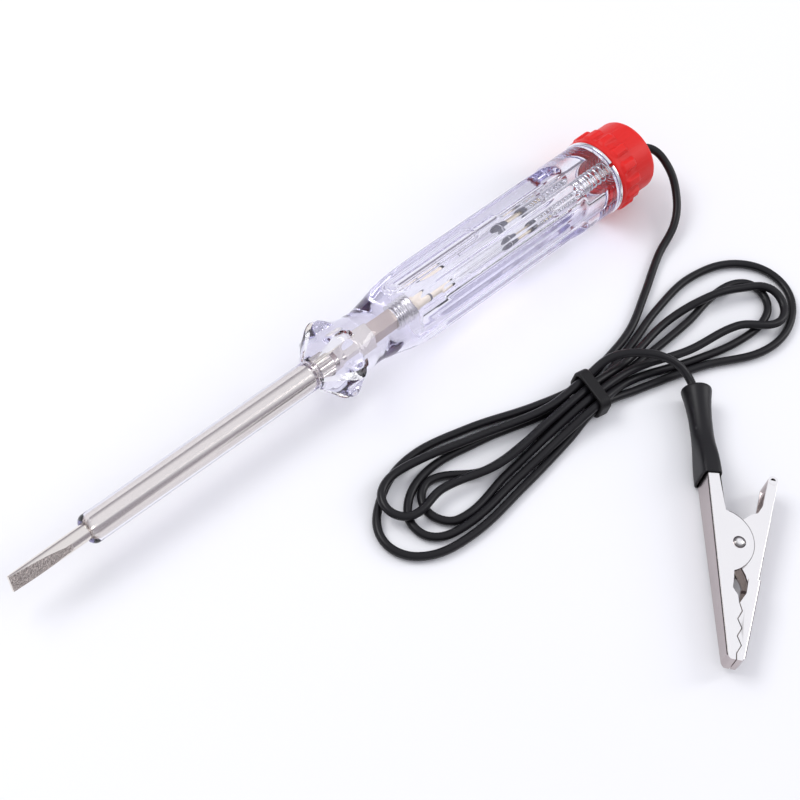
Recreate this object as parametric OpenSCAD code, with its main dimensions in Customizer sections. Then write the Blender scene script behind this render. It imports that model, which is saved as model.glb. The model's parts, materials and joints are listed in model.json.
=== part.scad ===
// Circuit test light: a screwdriver-bladed probe with a lamp in a clear handle,
// a threaded rear cap, and an earth lead that ends in a spring clip.
// Millimetres. The tool's axis runs along X, from the blade (-X) to the cap (+X),
// and it lies on the plane z = 0, with the coiled lead and the clip beside it.

/* [Probe] */
// Distance from the origin to the tip of the blade
blade_reach = 96; // [80:1:120]
// Diameter of the probe rod
rod_d = 3.8; // [3:0.1:4.5]
// Thickness of the ground blade at its tip
blade_tip_t = 0.7; // [0.5:0.1:1.2]
// Length of the ground flat on the blade
blade_flat = 15; // [8:1:20]
// Length of bare rod ahead of the insulating sleeve
bare_length = 20; // [16:1:25]
// Outside diameter of the insulating sleeve
sleeve_d = 6.9; // [6:0.1:7.4]
// Turn of the blade's flats about the axis, from lying flat
blade_turn = 53; // [0:1:90]

/* [Handle] */
// Diameter of the clear handle
body_d = 18.4; // [17.8:0.1:18.8]
// Diameter over the lobes of the finger guard
guard_d = 19; // [18:0.1:20]
// Number of lobes round the finger guard
guard_lobes = 6; // [5:1:8]
// Width across the handle's flats
flats_w = 16.5; // [16.2:0.1:17.4]
// Number of flats round the handle, each with a long flute
flute_count = 6; // [5:1:8]
// Depth of a flute below its flat
flute_depth = 0.7; // [0.4:0.1:0.9]
// Depth of the blank panel
panel_depth = 0.3; // [0.2:0.1:0.4]
// Diameter of the lamp chamber
chamber_d = 9; // [8:0.1:10]
// Diameter of the rear screw neck, over its thread
neck_d = 15; // [14:0.1:15.6]

/* [Cap] */
// Diameter over the grip lugs of the cap
cap_lug_d = 20; // [19.6:0.1:21]
// Diameter of the smooth end of the cap
cap_end_d = 17.8; // [17:0.1:18.6]
// Number of grip lugs
cap_lugs = 14; // [12:1:18]
// Running clearance of the cap on the screw neck, on the radius
thread_gap = 0.06; // [0.02:0.01:0.1]

/* [Lamp and springs] */
// Diameter of the lamp's glass
glass_d = 5.5; // [5:0.1:6]
// Wire diameter of the fine contact spring
fine_wire = 0.46; // [0.3:0.02:0.5]
// Turns of the fine contact spring
fine_turns = 17; // [10:1:20]
// Wire diameter of the wide lead spring
wide_wire = 0.56; // [0.4:0.02:0.7]
// Turns of the wide lead spring
wide_turns = 12; // [6:1:14]

/* [Lead] */
// Diameter of the earth lead
cord_d = 2; // [1.8:0.1:2]

/* [Clip] */
// Sheet thickness of the clip's jaws
sheet = 0.6; // [0.5:0.05:0.7]
// Width of the fixed jaw at its tail
clip_tail_w = 7.4; // [7:0.1:7.6]
// Width of both jaws at the tip
clip_tip_w = 4.6; // [4:0.1:5]
// Diameter of the pivot rivet
rivet_d = 2.4; // [2:0.1:2.6]

/* [Hidden] */
$fn = 48;

// Stations along the axis
tip_x = -blade_reach;
sleeve_front_x = tip_x + bare_length;
sleeve_back_x = -10;
sleeve_seat_x = -11.5;
guard_front_x = -11.3;
guard_back_x = -1.4;
tang_x = -3.5;
tang_step_x = 5.8;
contact_front_x = 13.4;
chamber_x = 18;
lamp_x = 15.6;
lamp_seam_x = 24.5;
glass_front_x = 31.5;
glass_back_x = 50.5;
pin_x = 53.3;
fine_start_x = 59.8;
fine_end_x = 76;
wide_start_x = 76.6;
body_end_x = 82.3;
ring_x = 82.4;
cap_x = 83.4;
neck_end_x = 89.6;
terminal_x = 90;
cap_seat_x = 92.8;
cap_end_x = 96;

// Radii
axis_z = cap_lug_d / 2;
rod_r = rod_d / 2;
sleeve_r = sleeve_d / 2;
sleeve_seat_r = sleeve_r - 0.45;
body_r = body_d / 2;
neck_r = neck_d / 2;
chamber_r = chamber_d / 2;
contact_r = 2;
lamp_cap_r = 1.4;
lamp_stem_r = 1.1;
pin_r = 1.3;
pin_stem_r = 1;
collar_gap = 0.1;
skirt_r = 9.6;
ring_t = 0.9;
ring_r = 9.45;
terminal_r = 4.25;
tang_1 = [2.8, 3.2];
tang_2 = [2.4, 2.4];
flat_r = flats_w / 2;
flat_end_x = 69;
panel_turn = 156;
lug_turn = 8;
ring_split_turn = 199;

// Places of the clip: its rivet is vertical, its local x runs to the tip
clip_pivot = [39, -88.5, 4.2];
clip_angle = -140;
clip_front = 29;
clip_tail = -21;
clip_tongue = -24.5;
ear_gap = 0.1;

// Route of the lead from its terminal to the tied hank, and on from the hank to the boot
LEAD_START = [
    [92.8, 0, 10], [96, 0, 10], [102, -2.1, 10], [103.1, -7.8, 8.5], [101, -14, 5.5],
    [96, -19, 3], [87, -22.5, 1.2], [76, -28, 1], [65, -33, 1], [54, -35.3, 1.2]
];
LEAD_END = [
    [43, -36.7, 4.4], [51.5, -37, 6.5], [58, -41, 7.5], [62.5, -46, 6.8], [64, -51, 5],
    [61.4, -57, 4.2], [58.1, -60.8, 4.2], [54.6, -64.7, 4.2]
];

// Outline of the tied hank, as circles [x, y, radius]: each lobe, from its end to the tie
LEFT_LOBE = [[-10, -37.3, 12.5], [13, -37.8, 10.5], [43, -40, 4.4]];
RIGHT_LOBE = [[94, -44.8, 13.4], [43, -40, 4.4]];
hank_h = 4.4;

// Unit vector along v
function unit(v) = v / norm(v);

// Direction of a path at its point i
function heading(path, i) =
    unit(path[min(i + 1, len(path) - 1)] - path[max(i - 1, 0)]);

// Points of a ring of n sides and radius r round centre c, across direction t
function ring_points(c, t, r, n) =
    let (side = unit(cross([0, 0, 1], t)), up = cross(t, side))
    [for (k = [0:n - 1]) c + r * (cos(360 * k / n) * side + sin(360 * k / n) * up)];

// A round tube of n sides along a path whose headings are never vertical
module tube(path, r, n) {
    count = len(path);
    points = [for (i = [0:count - 1]) each ring_points(path[i], heading(path, i), r, n)];
    walls = [for (i = [0:count - 2]) for (k = [0:n - 1])
        let (a = i * n + k, b = i * n + (k + 1) % n)
        each [[a, a + n, b], [b, a + n, b + n]]];
    first = [[for (k = [0:n - 1]) k]];
    last = [[for (k = [n - 1:-1:0]) (count - 1) * n + k]];
    polyhedron(points = points, faces = concat(first, walls, last), convexity = 10);
}

// Path of a coil along local z, starting at z = 0
function coil_path(r, height, turns, steps) =
    [for (i = [0:turns * steps])
        let (a = 360 * i / steps) [r * cos(a), r * sin(a), height * i / (turns * steps)]];

// A coil of round wire along local z
module coil(r, height, turns, wire_d, steps = 10, n = 6) {
    path = coil_path(r, height, turns, steps);
    count = len(path);
    points = [for (i = [0:count - 1])
        let (p = path[i], out = unit([p[0], p[1], 0]), t = heading(path, i), up = cross(t, out))
        each [for (k = [0:n - 1])
            p + wire_d / 2 * (cos(360 * k / n) * out + sin(360 * k / n) * up)]];
    walls = [for (i = [0:count - 2]) for (k = [0:n - 1])
        let (a = i * n + k, b = i * n + (k + 1) % n)
        each [[a, b, a + n], [b, b + n, a + n]]];
    first = [[for (k = [n - 1:-1:0]) k]];
    last = [[for (k = [0:n - 1]) (count - 1) * n + k]];
    polyhedron(points = points, faces = concat(first, walls, last), convexity = 10);
}

// Turns local z into the tool's axis, with local x pointing down
module on_axis(x) {
    translate([x, 0, axis_z])
        rotate([0, 90, 0])
            children();
}

// A solid cylinder on the tool's axis
module rod(x0, x1, r) {
    on_axis(x0)
        cylinder(h = x1 - x0, r = r);
}

// A solid of revolution about the tool's axis, from [station, radius] points
module turned(outline) {
    on_axis(0)
        rotate_extrude($fn = 96)
            polygon([for (p = outline) [p[1], p[0]]]);
}

// A block centred on the axis
module block(x0, x1, size_y, size_z) {
    translate([x0, -size_y / 2, axis_z - size_z / 2])
        cube([x1 - x0, size_y, size_z]);
}

// Everything of the shank that the handle is moulded round
module shank_root() {
    rod(sleeve_back_x, tang_x, rod_r);
    rod(sleeve_back_x, -5, rod_r + 0.15);
    block(tang_x, tang_step_x, tang_1[0], tang_1[1]);
    block(tang_step_x, contact_front_x, tang_2[0], tang_2[1]);
}

module shank() {
    flat_x = tip_x + blade_flat;
    color("gainsboro") {
        shank_root();
        difference() {
            rod(tip_x, sleeve_back_x, rod_r);
            for (side = [-1, 1])
                translate([0, 0, axis_z])
                    rotate([90 + blade_turn, 0, 0])
                        linear_extrude(2 * rod_r + 2, center = true)
                            polygon([
                                [tip_x - 1, side * blade_tip_t / 2],
                                [tip_x, side * blade_tip_t / 2],
                                [flat_x, side * rod_r],
                                [flat_x, side * (rod_r + 1)],
                                [tip_x - 1, side * (rod_r + 1)]
                            ]);
        }
    }
}

// Clear tube with a rounded nose, a little thinner where it seats in the handle
module sleeve() {
    nose = 1.2;
    color("lavender", 0.5)
        difference() {
            turned([
                [sleeve_front_x, 0],
                [sleeve_front_x, sleeve_r - nose],
                [sleeve_front_x + 0.4, sleeve_r - 0.4],
                [sleeve_front_x + nose, sleeve_r],
                [sleeve_seat_x, sleeve_r],
                [sleeve_seat_x, sleeve_seat_r],
                [sleeve_back_x, sleeve_seat_r],
                [sleeve_back_x, 0]
            ]);
            rod(sleeve_front_x - 1, sleeve_back_x + 1, rod_r);
        }
}

// Six-lobed finger guard with a domed front
module guard() {
    scoop_r = 6;
    scoop_depth = 1.2;
    intersection() {
        on_axis(guard_front_x)
            linear_extrude(guard_back_x - guard_front_x)
                difference() {
                    circle(d = guard_d, $fn = 96);
                    for (k = [0:guard_lobes - 1])
                        rotate((k + 0.5) * 360 / guard_lobes)
                            translate([guard_d / 2 - scoop_depth + scoop_r, 0])
                                circle(r = scoop_r);
                }
        turned([
            [guard_front_x, 0],
            [guard_front_x, 3.7],
            [guard_front_x + 1.3, 4.7],
            [guard_front_x + 2.8, 6.1],
            [guard_front_x + 4.3, 7.6],
            [guard_front_x + 5.3, guard_d / 2 - 0.7],
            [guard_front_x + 6.3, guard_d / 2 - 0.1],
            [guard_front_x + 7.3, guard_d / 2],
            [guard_back_x - 1.2, guard_d / 2 - 0.7],
            [guard_back_x, 7.7],
            [guard_back_x, 0]
        ]);
    }
}

// What one long flat takes off the round handle, with a ramp at its rear end
module flat_cut(a) {
    ramp = 4;
    rise = 1.2;
    on_axis(0)
        rotate([0, 0, panel_turn + a * 360 / flute_count])
            rotate([90, 0, 0])
                linear_extrude(body_r * 1.4, center = true)
                    polygon([
                        [flat_r, chamber_x - 10],
                        [flat_r, flat_end_x],
                        [flat_r + rise, flat_end_x + ramp],
                        [flat_r + 4, flat_end_x + ramp],
                        [flat_r + 4, chamber_x - 10]
                    ]);
}

// One long flute with round ends; the first starts behind the blank panel
module flute(a) {
    groove_r = 3;
    x0 = (a == 0) ? 51 : 26;
    x1 = flat_end_x;
    on_axis(0)
        rotate(panel_turn + a * 360 / flute_count)
            translate([flat_r + groove_r - flute_depth, 0, 0]) {
                translate([0, 0, x0])
                    cylinder(h = x1 - x0, r = groove_r);
                for (x = [x0, x1])
                    translate([0, 0, x])
                        sphere(r = groove_r);
            }
}

// Blank oval panel, a shallow recess ahead of the first flute
module panel() {
    x0 = 19.5;
    x1 = 41;
    panel_w = 4.6;
    on_axis(0)
        rotate(panel_turn)
            translate([flat_r - panel_depth, 0, 0])
                rotate([0, 90, 0])
                    linear_extrude(3) {
                        translate([-x1, -panel_w / 2])
                            square([x1 - x0, panel_w]);
                        for (x = [x0, x1])
                            translate([-x, 0])
                                circle(d = panel_w);
                    }
}

module handle() {
    color("lavender", 0.35)
        difference() {
            union() {
                guard();
                turned([
                    [guard_back_x - 0.5, 0],
                    [guard_back_x - 0.5, 7.6],
                    [0.6, 7.1],
                    [3, 6.55],
                    [5.6, 6.4],
                    [8.7, 6.9],
                    [11.9, 7.45],
                    [15, 8.2],
                    [18.2, 8.7],
                    [21.4, 9],
                    [24.6, body_r],
                    [body_end_x, body_r],
                    [body_end_x, neck_r],
                    [neck_end_x, neck_r],
                    [neck_end_x, 0]
                ]);
            }
            rod(guard_front_x - 1, sleeve_back_x, sleeve_seat_r);
            shank_root();
            rod(contact_front_x, chamber_x + 1, contact_r);
            rod(chamber_x, neck_end_x + 1, chamber_r);
            for (a = [0:flute_count - 1]) {
                flat_cut(a);
                flute(a);
            }
            panel();
        }
}

module front_contact() {
    groove = 0.2;
    color("silver")
        difference() {
            rod(contact_front_x, chamber_x, contact_r);
            rod(lamp_x - collar_gap, chamber_x + 1, lamp_cap_r + collar_gap);
            for (x = [14, 15.2, 16.4])
                difference() {
                    rod(x, x + 0.6, contact_r + 1);
                    rod(x - 1, x + 2, contact_r - groove);
                }
        }
}

module lamp_front_cap() {
    color("cornsilk") {
        rod(lamp_x, lamp_seam_x, lamp_cap_r);
        rod(lamp_seam_x, glass_front_x + 0.8, lamp_stem_r);
    }
}

module lamp_glass() {
    wall = 0.35;
    glass_r = glass_d / 2;
    color("white", 0.4)
        difference() {
            turned([
                [glass_front_x, 0],
                [glass_front_x, 1.5],
                [glass_front_x + 1.6, glass_r],
                [glass_back_x, glass_r],
                [glass_back_x, 0]
            ]);
            rod(glass_front_x - 1, glass_front_x + 0.8, lamp_stem_r);
            turned([
                [glass_front_x + 0.8, 0],
                [glass_front_x + 0.8, 1.5],
                [glass_front_x + 2, glass_r - wall],
                [glass_back_x + 1, glass_r - wall],
                [glass_back_x + 1, 0]
            ]);
        }
}

// Two lead-in wires and the hot wire between them
module lamp_filament() {
    wire_r = 0.12;
    bridge_x = 38;
    color("dimgray") {
        for (side = [-1, 1])
            translate([bridge_x, side * 0.9, axis_z])
                rotate([0, 90, 0])
                    cylinder(h = glass_back_x - bridge_x, r = wire_r, $fn = 16);
        translate([bridge_x, -0.9 - wire_r, axis_z])
            rotate([-90, 0, 0])
                cylinder(h = 1.8 + 2 * wire_r, r = wire_r, $fn = 16);
    }
}

module lamp_rear_cap() {
    color("dimgray") {
        rod(glass_back_x, glass_back_x + 0.8, 2.6);
        rod(glass_back_x, pin_x - 0.1, 1.9);
    }
}

module contact_pin() {
    color("wheat") {
        rod(pin_x, fine_start_x - 1.4, pin_r);
        rod(fine_start_x - 1.4, fine_start_x + 6, pin_stem_r);
    }
}

module pin_collar() {
    color("slategray")
        difference() {
            rod(fine_start_x - 1.4, fine_start_x - 0.3, 2.2);
            rod(fine_start_x - 2, fine_start_x, pin_stem_r);
        }
}

module contact_spring() {
    color("silver")
        on_axis(fine_start_x)
            coil(2, fine_end_x - fine_start_x, fine_turns, fine_wire);
}

module lead_spring() {
    color("silver")
        on_axis(wide_start_x)
            coil(2.05, terminal_x - wide_start_x - wide_wire / 2, wide_turns, wide_wire);
}

module terminal() {
    color("silver") {
        rod(terminal_x, terminal_x + 0.8, terminal_r);
        rod(terminal_x + 0.8, terminal_x + 1.2, 1);
    }
}

module split_ring() {
    split = 0.9;
    color("lightgray")
        difference() {
            rod(ring_x, ring_x + ring_t, ring_r);
            rod(ring_x - 1, ring_x + 2, neck_r + 0.4);
            on_axis(ring_x - 1)
                rotate(ring_split_turn)
                    translate([0, -split / 2, 0])
                        cube([ring_r + 1, split, 3]);
        }
}

// One grip lug, from the skirt to the full lug radius
module lug() {
    lug_r = 1.35;
    translate([cap_lug_d / 2 - lug_r, 0, 0]) {
        translate([0, 0, 2.2])
            cylinder(h = 3.2, r = lug_r, $fn = 24);
        translate([0, 0, 2.2])
            sphere(r = lug_r, $fn = 24);
    }
}

module cap() {
    color("crimson")
        difference() {
            union() {
                turned([
                    [cap_x, 0],
                    [cap_x, skirt_r - 0.2],
                    [cap_x + 0.3, skirt_r],
                    [cap_x + 5.8, skirt_r],
                    [cap_x + 6.2, skirt_r - 0.4],
                    [cap_x + 6.2, cap_end_d / 2],
                    [cap_end_x - 1.2, cap_end_d / 2],
                    [cap_end_x - 0.35, cap_end_d / 2 - 0.4],
                    [cap_end_x, cap_end_d / 2 - 1.4],
                    [cap_end_x, 0]
                ]);
                on_axis(cap_x)
                    for (k = [0:cap_lugs - 1])
                        rotate(lug_turn + k * 360 / cap_lugs)
                            lug();
            }
            rod(cap_x - 1, terminal_x, neck_r + thread_gap);
            rod(terminal_x - 1, cap_seat_x, terminal_r);
            rod(cap_seat_x - 1, cap_end_x + 1, cord_d / 2 + 0.2);
        }
}

// Crimped bead that keeps the lead from pulling out of the cap
module cord_stop() {
    color("silver")
        rod(terminal_x + 1.2, cap_seat_x, 2);
}

module lead_cord() {
    color("black")
        tube(LEAD_START, cord_d / 2, 8);
}

module lead_end() {
    color("black")
        tube(LEAD_END, cord_d / 2, 8);
}

// Outer shape of the lead's turns, gathered by the tie between two loose lobes
module lead_hank() {
    color("black")
        linear_extrude(hank_h)
            for (lobe = [LEFT_LOBE, RIGHT_LOBE])
                hull()
                    for (c = lobe)
                        translate([c[0], c[1]])
                            circle(r = c[2], $fn = 32);
}

// A rectangle centred on the origin with corners of radius r
module round_rect(w, h, r) {
    square([w - 2 * r, h], center = true);
    square([w, h - 2 * r], center = true);
    for (x = [-1, 1])
        for (y = [-1, 1])
            translate([x * (w / 2 - r), y * (h / 2 - r)])
                circle(r = r);
}

module cord_tie() {
    inner = [9, 4.5];
    band = 1;
    width = 3;
    color("black")
        translate([42.6, -40, inner[1] / 2 + band])
            rotate([90, 0, 80])
                linear_extrude(width, center = true)
                    difference() {
                        round_rect(inner[0] + 2 * band, inner[1] + 2 * band, 2);
                        round_rect(inner[0], inner[1], 1);
                    }
}

// Puts children in the clip's frame: x to the tip, y to the moving jaw, z = rivet axis
module in_clip() {
    translate(clip_pivot)
        rotate(clip_angle)
            children();
}

// Half width of the clip's channel at station x, outside the sheet
function half_width(x) =
    (clip_tip_w + (clip_tail_w - clip_tip_w) * (clip_front - x) / (clip_front - clip_tail)) / 2;

// Slab with the channel's taper, thinner by inset on each side
module taper(inset) {
    translate([0, 30, 0])
        rotate([90, 0, 0])
            linear_extrude(60)
                polygon([
                    [clip_tail - 4, -half_width(clip_tail - 4) + inset],
                    [clip_front + 4, -half_width(clip_front + 4) + inset],
                    [clip_front + 4, half_width(clip_front + 4) - inset],
                    [clip_tail - 4, half_width(clip_tail - 4) - inset]
                ]);
}

// Outline of the fixed jaw seen along the rivet, web along its lower edge
module fixed_outline() {
    polygon([
        [clip_tail, -8.69], [clip_tail, -5.7], [-17.3, -5], [-7, -3.3], [0, -2], [7.6, -1],
        [9.1, -1], [11.6, -1.2], [13.2, 0], [15, 0.3],
        [17, 1], [19.1, 0], [21.2, 1], [23.3, 0], [25.4, 1], [27.4, 0],
        [clip_front, 0], [clip_front, -1.2], [clip_front - 1, -2.04]
    ]);
}

// Round ear of the fixed jaw, cut off along the web
module fixed_ear() {
    difference() {
        translate([0.3, -4.3, 0])
            cylinder(h = 12, r = 7.8, center = true, $fn = 96);
        translate([0, 0, -7])
            linear_extrude(14)
                polygon([[-12, -7.46], [12, -4.21], [12, -20], [-12, -20]]);
    }
}

module clip_fixed_jaw() {
    color("gainsboro")
        in_clip() {
            difference() {
                intersection() {
                    union() {
                        linear_extrude(12, center = true)
                            fixed_outline();
                        fixed_ear();
                    }
                    taper(0);
                }
                intersection() {
                    linear_extrude(13, center = true)
                        polygon([
                            [-25, -9.23 + sheet], [clip_front - sheet, -1.98 + sheet],
                            [clip_front - sheet, 6], [-25, 6]
                        ]);
                    taper(sheet);
                }
                cylinder(h = 12, d = rivet_d, center = true);
            }
            // tongue that carries the crimped end of the lead
            linear_extrude(1.6, center = true)
                polygon([
                    [clip_tongue, -9.16], [clip_tongue, -8.56],
                    [clip_tail + 1, -7.95], [clip_tail + 1, -8.55]
                ]);
        }
}

// Front part of the moving jaw, as wide as the fixed jaw
module moving_front() {
    polygon([
        [8.6, 2.4], [10.4, 2.2], [12.4, 2], [15, 0.55],
        [17, 1.25], [19.1, 0.25], [21.2, 1.25], [23.3, 0.25], [25.4, 1.25], [27.4, 0.25],
        [clip_front, 0.25], [clip_front, 1.4], [clip_front - 1, 2.3], [8.6, 5.3]
    ]);
}

// Rear part of the moving jaw, which works between the fixed jaw's sides
module moving_rear() {
    difference() {
        union() {
            circle(r = 4.4);
            polygon([
                [-4.4, 0], [-6, 0.6], [-7.9, 2.7], [-8.8, 4.4], [-10.9, 5.5], [-18, 6.6],
                [-18, 8.94], [9.2, 5], [9.2, 2.4], [7.6, 1.9], [4.4, 0]
            ]);
        }
        polygon([[-19, 9.1], [10, 4.87], [10, 20], [-19, 20]]);
    }
}

module clip_moving_jaw() {
    step = sheet + ear_gap;
    color("silver")
        in_clip() {
            difference() {
                union() {
                    intersection() {
                        linear_extrude(12, center = true)
                            moving_rear();
                        taper(step);
                    }
                    intersection() {
                        linear_extrude(12, center = true)
                            moving_front();
                        taper(0);
                    }
                }
                // inside of the channel, narrower behind the rivet than ahead of it
                intersection() {
                    linear_extrude(12, center = true)
                        polygon([
                            [-19, -6], [-19, 9.1 - sheet], [9.4, 4.96 - sheet], [9.4, -6]
                        ]);
                    taper(step + sheet);
                }
                intersection() {
                    linear_extrude(12, center = true)
                        polygon([
                            [9.3, -6], [9.3, 4.97 - sheet], [clip_front - sheet, 2.1 - sheet],
                            [clip_front - sheet, -6]
                        ]);
                    taper(sheet);
                }
                cylinder(h = 12, r = rivet_d / 2 + 0.05, center = true);
            }
            // rolled thumb end of the lever
            translate([-18, 7.75, 0])
                difference() {
                    cylinder(h = 2 * half_width(-18) - 2 * step, r = 1.15, center = true, $fn = 32);
                    cylinder(h = 12, r = 0.6, center = true, $fn = 32);
                }
        }
}

module clip_rivet() {
    head_h = 0.55;
    head_r = 1.5;
    half = half_width(0);
    color("silver")
        in_clip() {
            cylinder(h = 2 * half, d = rivet_d, center = true);
            for (side = [0, 1])
                mirror([0, 0, side])
                    translate([0, 0, half]) {
                        cylinder(h = head_h * 0.5, r = head_r);
                        translate([0, 0, head_h * 0.5])
                            cylinder(h = head_h * 0.5, r1 = head_r, r2 = head_r * 0.7);
                    }
        }
}

// Path of the torsion spring: a straight leg, the coil, and the other leg
function torsion_path(r, height, turns, reach, web_y, lever_y, steps) =
    let (coil = [for (p = coil_path(r, height, turns, steps)) p - [0, 0, height / 2]])
    concat(
        [[web_y, -reach, -height / 2]],
        coil,
        [[-lever_y, -reach, height / 2]]
    );

// Torsion spring round the rivet, with one leg on each jaw
module clip_spring() {
    wire = 0.55;
    color("gray")
        in_clip()
            rotate(-90)
                tube(torsion_path(1.75, 2.8, 4.5, 8, 5.95, 6.5, 12), wire / 2, 6);
}

// Puts children on the boot's axis: z runs back from its front end to the lead
module in_boot() {
    in_clip()
        translate([-16.5, -6.6, 0])
            rotate([0, -90, 8.5])
                children();
}

// Barrel folded round the bared strands at the end of the lead
module wire_crimp() {
    color("silver")
        in_boot()
            translate([0, 0, 7.95])
                cylinder(h = 3.05, r = 1.35);
}

// Soft sleeve over the clip's tail, flared where the lead enters it
module clip_boot() {
    tail_room = [2 * half_width(clip_tail) + 0.1, 3.5];
    oval_end = 5.5;
    neck = 11;
    color("dimgray")
        in_boot()
            difference() {
                union() {
                    linear_extrude(oval_end)
                        round_rect(8.2, 4.9, 1.6);
                    hull() {
                        translate([0, 0, oval_end - 0.5])
                            linear_extrude(0.5)
                                round_rect(8.2, 4.9, 1.6, $fn = 32);
                        translate([0, 0, neck])
                            cylinder(h = 0.5, r = 2.65, $fn = 32);
                    }
                    translate([0, 0, neck])
                        rotate_extrude()
                            polygon([
                                [0, 0], [2.65, 0], [2.7, 4], [2.95, 8], [3.5, 11.8],
                                [3.6, 12.6], [3.4, 13], [0, 13]
                            ]);
                }
                translate([0, 0, 4])
                    rotate_extrude()
                        polygon([
                            [0, 0], [1.75, 0], [1.75, 12], [2, 15], [2.6, 18.6],
                            [2.8, 21], [0, 21]
                        ]);
                translate([-tail_room[0] / 2, -tail_room[1] / 2, -1])
                    cube([tail_room[0], tail_room[1], 6.2]);
            }
}

shank();
sleeve();
handle();
front_contact();
lamp_front_cap();
lamp_glass();
lamp_filament();
lamp_rear_cap();
contact_pin();
pin_collar();
contact_spring();
lead_spring();
terminal();
split_ring();
cap();
cord_stop();
lead_cord();
lead_hank();
lead_end();
cord_tie();
clip_boot();
wire_crimp();
clip_fixed_jaw();
clip_moving_jaw();
clip_rivet();
clip_spring();
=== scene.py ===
"""Looks of the circuit test light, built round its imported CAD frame.

Shapes are written in millimetres in the row frame, and each mesh is scaled to metres once.
The tool's axis runs along X at AXIS_Z. Angles round it run from +Y towards +Z.
"""
import bisect
import json
import math

import bmesh
import bpy
from mathutils import Matrix, Vector


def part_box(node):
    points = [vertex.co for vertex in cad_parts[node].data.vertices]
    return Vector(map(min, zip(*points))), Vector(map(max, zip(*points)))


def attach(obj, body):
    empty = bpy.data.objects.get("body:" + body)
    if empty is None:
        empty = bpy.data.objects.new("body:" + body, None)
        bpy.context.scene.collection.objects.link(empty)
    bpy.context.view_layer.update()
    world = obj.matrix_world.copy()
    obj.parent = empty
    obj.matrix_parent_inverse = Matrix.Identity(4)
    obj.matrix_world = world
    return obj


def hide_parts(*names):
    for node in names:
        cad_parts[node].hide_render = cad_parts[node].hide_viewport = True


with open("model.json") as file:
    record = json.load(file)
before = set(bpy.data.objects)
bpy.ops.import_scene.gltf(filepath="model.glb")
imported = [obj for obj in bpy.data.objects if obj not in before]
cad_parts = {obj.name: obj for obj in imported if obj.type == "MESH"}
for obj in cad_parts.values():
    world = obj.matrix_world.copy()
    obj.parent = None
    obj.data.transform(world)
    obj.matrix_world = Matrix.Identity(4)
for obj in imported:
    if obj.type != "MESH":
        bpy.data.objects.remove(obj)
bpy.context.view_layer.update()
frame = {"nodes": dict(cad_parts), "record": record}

MM = 0.001
TURN = 2 * math.pi


def span(source, axis=0):
    """Lowest and highest station of a CAD node along one axis, in millimetres."""
    low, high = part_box(source)
    return low[axis] / MM, high[axis] / MM


AXIS_Z = sum(span("cap", 2)) / 2
SLEEVE_FRONT, SLEEVE_BACK = span("sleeve")
SLEEVE_R = (span("sleeve", 1)[1] - span("sleeve", 1)[0]) / 2
GUARD_FRONT, NECK_END = span("handle")
RING_FRONT, RING_BACK = span("split_ring")
CAP_FRONT, CAP_END = span("cap")
SEAT_R = SLEEVE_R - 0.45
ROD_R = 1.9
PRESS = 0.02
BLADE_NORMAL = math.radians(143)
BLADE_GROUND = (-80.6, -81.4)
TANG_STEP = (5.7, 5.9)
GUARD_BACK = -1.4
BODY_R = 9.2
BODY_END = 82.3
NECK_R = 7.5
CHAMBER_R = 4.5
CHAMBER_FRONT = 17.9
CORD_D = 2
CLIP_ANGLE = math.radians(-140)
CLIP_PIVOT = Vector((39, -88.5, 4.2))


# ---------------------------------------------------------------- camera, floor and lights

def add_camera():
    """Camera at the photograph's viewing angle."""
    place = Vector((-0.2824, -0.1547, 0.4597))
    heading, elevation, roll = (math.radians(a) for a in (64, 55, 23.34))
    level = Vector((math.sin(heading), math.cos(heading), 0))
    side = Vector((math.cos(heading), -math.sin(heading), 0))
    forward = level * math.cos(elevation) - Vector((0, 0, math.sin(elevation)))
    over = level * math.sin(elevation) + Vector((0, 0, math.cos(elevation)))
    right = side * math.cos(roll) + over * math.sin(roll)
    top = over * math.cos(roll) - side * math.sin(roll)
    data = bpy.data.cameras.new("camera")
    data.sensor_width = 36
    data.lens = 112.5
    data.clip_start = 0.01
    camera = bpy.data.objects.new("camera", data)
    bpy.context.scene.collection.objects.link(camera)
    turned = Matrix((right, top, -forward)).transposed().to_4x4()
    camera.matrix_world = Matrix.Translation(place) @ turned
    bpy.context.scene.camera = camera


def add_floor():
    """A plain pale floor just under the object."""
    floor_size, floor_z = 6, -0.2 * MM
    bpy.ops.mesh.primitive_plane_add(size=floor_size, location=(0, 0, floor_z))
    floor = bpy.context.object
    floor.name = "floor"
    floor.data.materials.append(principled("floor_paper", (0.9, 0.9, 0.91), roughness=0.9))


def add_light(name, place, size, watts):
    """A large soft area light that faces the object."""
    target = Vector((0.01, -0.03, 0))
    data = bpy.data.lights.new(name, "AREA")
    data.shape = "RECTANGLE"
    data.size, data.size_y = size
    data.energy = watts
    light = bpy.data.objects.new(name, data)
    bpy.context.scene.collection.objects.link(light)
    light.location = place
    aim = target - Vector(place)
    light.rotation_mode = "QUATERNION"
    light.rotation_quaternion = aim.to_track_quat("-Z", "Y")


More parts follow.
